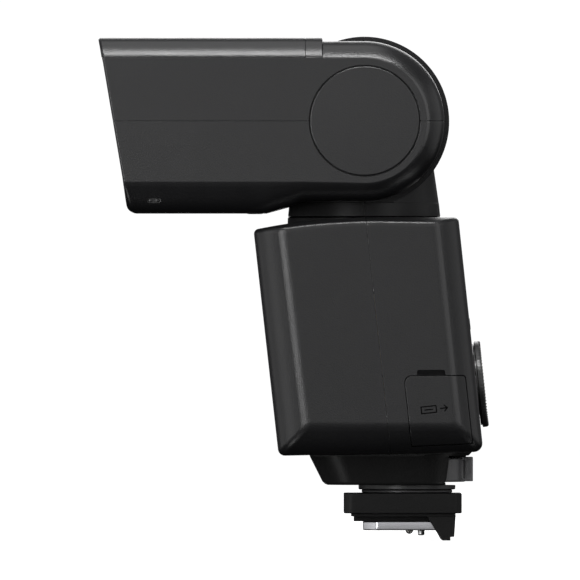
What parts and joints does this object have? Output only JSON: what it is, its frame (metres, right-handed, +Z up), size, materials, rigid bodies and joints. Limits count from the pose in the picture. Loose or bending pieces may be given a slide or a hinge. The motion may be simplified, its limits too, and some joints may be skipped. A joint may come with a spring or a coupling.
{
  "type": "speedlight flash",
  "caption": "Shoe-mounted speedlight flash with a tilting and turning lamp head, pull-out light panels, a control wheel and a locking foot.",
  "frame": {"origin": "centre of the metal foot plate's bottom face", "axes": "+Z up, out of the accessory shoe; the lamp head points along -Y, the control panel faces +Y, X runs across the width"},
  "size_m": [0.0696, 0.0893, 0.1152],
  "materials": {
    "head_plastic": "fine-grained matte black",
    "housing_plastic": "fine-grained matte black",
    "neck_plastic": "satin black",
    "foot_plastic": "matte black",
    "key_plastic": "matte black",
    "gloss_black": "polished black",
    "inner_plastic": "moulded dark grey",
    "clear_plastic": "clear, ribbed",
    "tube_glass": "clear",
    "card_white": "matte white",
    "red_window": "polished dark red",
    "foot_metal": "satin plated",
    "steel": "plain",
    "reflector_metal": "bright",
    "brass": "plain",
    "circuit_board": "solder mask green",
    "capacitor_can": "sleeved",
    "cell_can": "sleeved",
    "cable_rubber": "matte"
  },
  "bodies": {
    "housing": {"body_front_shell": "housing_plastic", "body_rear_shell": "housing_plastic", "swivel_collar": "neck_plastic", "control_board": "circuit_board", "lcd_module": "inner_plastic", "lcd_window": "gloss_black", "sensor_window": "red_window", "terminal_socket": "steel", "main_capacitor": "capacitor_can", "battery_cell_1": "cell_can", "battery_cell_2": "cell_can", "battery_cell_3": "cell_can", "battery_cell_4": "cell_can", "battery_contacts": "brass", "foot_housing": "foot_plastic", "foot_collar": "neck_plastic", "shoe_block": "foot_plastic", "shoe_skirt": "foot_plastic", "foot_plate": "foot_metal", "contact_insulator": "inner_plastic", "foot_screw_1": "steel", "foot_screw_2": "steel", "foot_screw_3": "steel", "foot_screw_4": "steel"},
    "swivel": {"neck_front_shell": "neck_plastic", "neck_rear_shell": "neck_plastic", "tilt_shaft": "steel", "tilt_detent": "steel", "swivel_tube": "steel", "swivel_retainer": "steel", "wire_harness": "cable_rubber"},
    "lamp_head": {"head_upper_shell": "head_plastic", "head_lower_shell": "head_plastic", "head_top_cover": "head_plastic", "hinge_cap_left": "head_plastic", "hinge_cap_right": "head_plastic", "lens_bezel": "gloss_black", "fresnel_lens": "clear_plastic", "card_tray": "inner_plastic", "receiver_window": "gloss_black", "zoom_motor": "steel"},
    "zoom": {"zoom_carriage": "inner_plastic", "reflector": "reflector_metal", "flash_tube": "tube_glass"},
    "screw": {"lead_screw": "steel"},
    "wide_sheet": {"wide_panel": "clear_plastic"},
    "card": {"bounce_card": "card_white"},
    "wheel": {"control_wheel": "gloss_black"},
    "enter_key": {"enter_button": "key_plastic"},
    "menu_key": {"menu_button": "key_plastic"},
    "back_key": {"back_button": "key_plastic"},
    "test_key": {"test_button": "key_plastic"},
    "switch": {"power_switch": "key_plastic"},
    "door": {"battery_door": "housing_plastic"},
    "latch": {"door_latch": "key_plastic"},
    "side_cover": {"terminal_cover": "housing_plastic"},
    "lever": {"lock_lever": "foot_plastic"},
    "pin": {"lock_pin": "steel"},
    "contact": {"shoe_contact": "brass"}
  },
  "joints": [
    {"name": "pan", "type": "hinge", "parent": "housing", "child": "swivel", "pos_m": [0, -0.0088, 0.0718], "axis": [0, 0, 1], "range_deg": [-180, 180]},
    {"name": "tilt", "type": "hinge", "parent": "swivel", "child": "lamp_head", "pos_m": [0, -0.0088, 0.0935], "axis": [-1, 0, 0], "range_deg": [0, 150]},
    {"name": "zoom_travel", "type": "slide", "parent": "lamp_head", "child": "zoom", "axis": [0, -1, 0], "range_m": [0, 0.011]},
    {"name": "screw_turn", "type": "hinge", "parent": "lamp_head", "child": "screw", "pos_m": [0.024, -0.0594, 0.081], "axis": [0, 1, 0], "continuous": true},
    {"name": "wide_panel_slide", "type": "slide", "parent": "lamp_head", "child": "wide_sheet", "axis": [0, -1, 0], "range_m": [0, 0.026]},
    {"name": "bounce_card_slide", "type": "slide", "parent": "lamp_head", "child": "card", "axis": [0, -1, 0], "range_m": [0, 0.028]},
    {"name": "wheel_turn", "type": "hinge", "parent": "housing", "child": "wheel", "pos_m": [0, 0.01667, 0.03334], "axis": [0, 0.9944, 0.1059], "continuous": true},
    {"name": "enter_press", "type": "slide", "parent": "housing", "child": "enter_key", "axis": [0, -0.9944, -0.1059], "range_m": [0, 0.0006], "stiffness_N_per_m": 400, "springref_m": -0.001},
    {"name": "menu_press", "type": "slide", "parent": "housing", "child": "menu_key", "axis": [0, -0.9944, -0.1059], "range_m": [0, 0.0006], "stiffness_N_per_m": 400, "springref_m": -0.001},
    {"name": "back_press", "type": "slide", "parent": "housing", "child": "back_key", "axis": [0, -0.9944, -0.1059], "range_m": [0, 0.0006], "stiffness_N_per_m": 400, "springref_m": -0.001},
    {"name": "test_press", "type": "slide", "parent": "housing", "child": "test_key", "axis": [0, -0.9944, -0.1059], "range_m": [0, 0.0007], "stiffness_N_per_m": 400, "springref_m": -0.001},
    {"name": "power_slide", "type": "slide", "parent": "housing", "child": "switch", "axis": [1, 0, 0], "range_m": [0, 0.0038]},
    {"name": "door_swing", "type": "hinge", "parent": "housing", "child": "door", "pos_m": [-0.0347, 0.00549, 0.0415], "axis": [0, 0.1059, -0.9944], "range_deg": [0, 100]},
    {"name": "latch_slide", "type": "slide", "parent": "door", "child": "latch", "axis": [0, 0.9944, 0.1059], "range_m": [0, 0.0021]},
    {"name": "terminal_cover_swing", "type": "hinge", "parent": "housing", "child": "side_cover", "pos_m": [0.0326, 0.00877, 0.02013], "axis": [0, 0.9944, 0.1059], "range_deg": [0, 100]},
    {"name": "lever_swing", "type": "hinge", "parent": "housing", "child": "lever", "pos_m": [0, 0.001, 0.0138], "axis": [0, 0, -1], "range_deg": [0, 30]},
    {"name": "pin_lift", "type": "slide", "parent": "housing", "child": "pin", "axis": [0, 0, 1], "range_m": [0, 0.0015]},
    {"name": "contact_press", "type": "slide", "parent": "housing", "child": "contact", "axis": [0, 0, 1], "range_m": [0, 0.0008], "stiffness_N_per_m": 600, "springref_m": -0.001}
  ],
  "couplings": [
    {"joint": "screw_turn", "follows": "zoom_travel", "rad_per_m": 2094.4},
    {"joint": "lever_swing", "follows": "pin_lift", "rad_per_m": 349}
  ]
}
